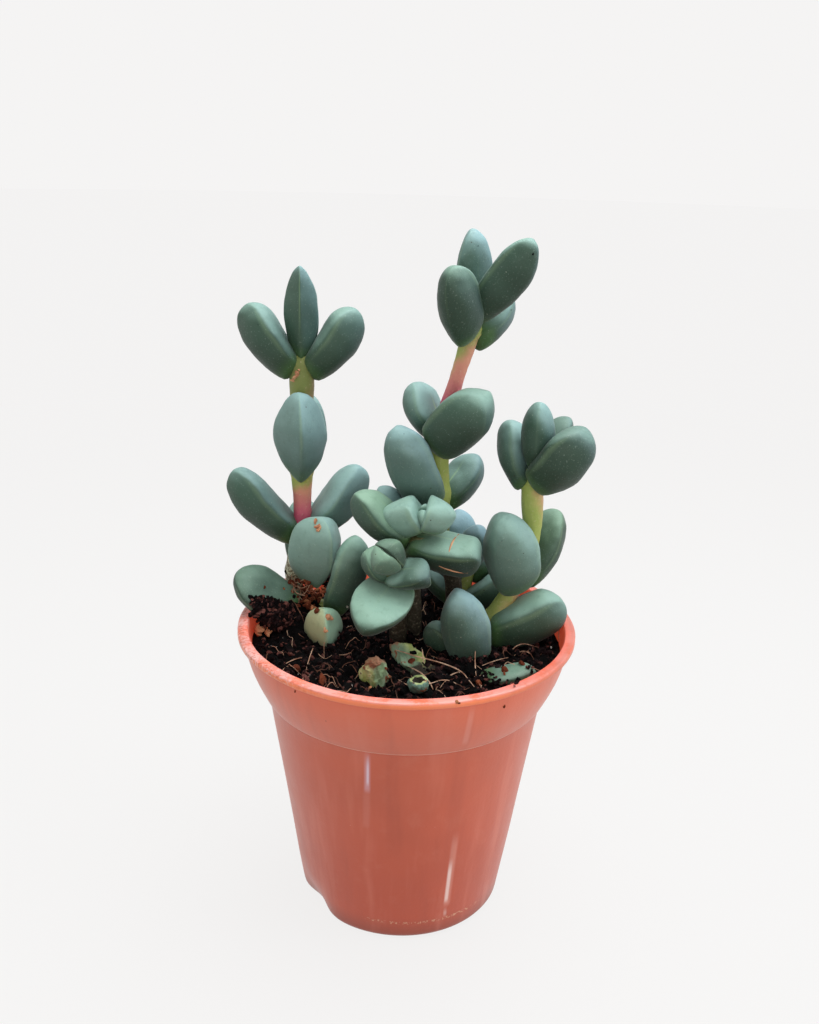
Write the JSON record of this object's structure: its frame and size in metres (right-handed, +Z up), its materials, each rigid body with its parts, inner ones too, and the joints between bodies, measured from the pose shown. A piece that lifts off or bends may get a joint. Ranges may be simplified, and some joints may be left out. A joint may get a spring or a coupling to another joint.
{
  "type": "potted ice plant",
  "caption": "Clump of fat, keeled, blue-green leaves on short stems, growing in soil in a small tapered plastic pot with a flared collar.",
  "frame": {"origin": "middle of the flat underside of the pot", "axes": "+Z up along the pot's axis, +X to the right in the front view, +Y away from the viewer in the front view"},
  "size_m": [0.0843, 0.08, 0.1628],
  "materials": {
    "pot_plastic": "terracotta-red moulded plastic, glossy and slightly translucent",
    "potting_soil": "dark brown, crumbly potting soil with coir, matt",
    "leaf_skin": "blue-green waxy skin with a satin bloom",
    "withered_skin": "dry, pale yellow-green skin with brown spots, matt"
  },
  "bodies": {
    "root": {"pot": "pot_plastic", "soil": "potting_soil", "left_shoot": "leaf_skin", "centre_shoot": "leaf_skin", "right_shoot": "leaf_skin", "front_offset": "leaf_skin", "upper_rosette": "leaf_skin", "lower_rosette": "leaf_skin", "back_shoot": "leaf_skin", "side_shoot": "leaf_skin", "rim_leaf": "leaf_skin", "scarred_leaf": "leaf_skin", "buried_leaf": "leaf_skin", "withered_leaf_tall": "withered_skin", "withered_leaf_flat": "withered_skin", "withered_leaf_small": "withered_skin"}
  },
  "joints": []
}
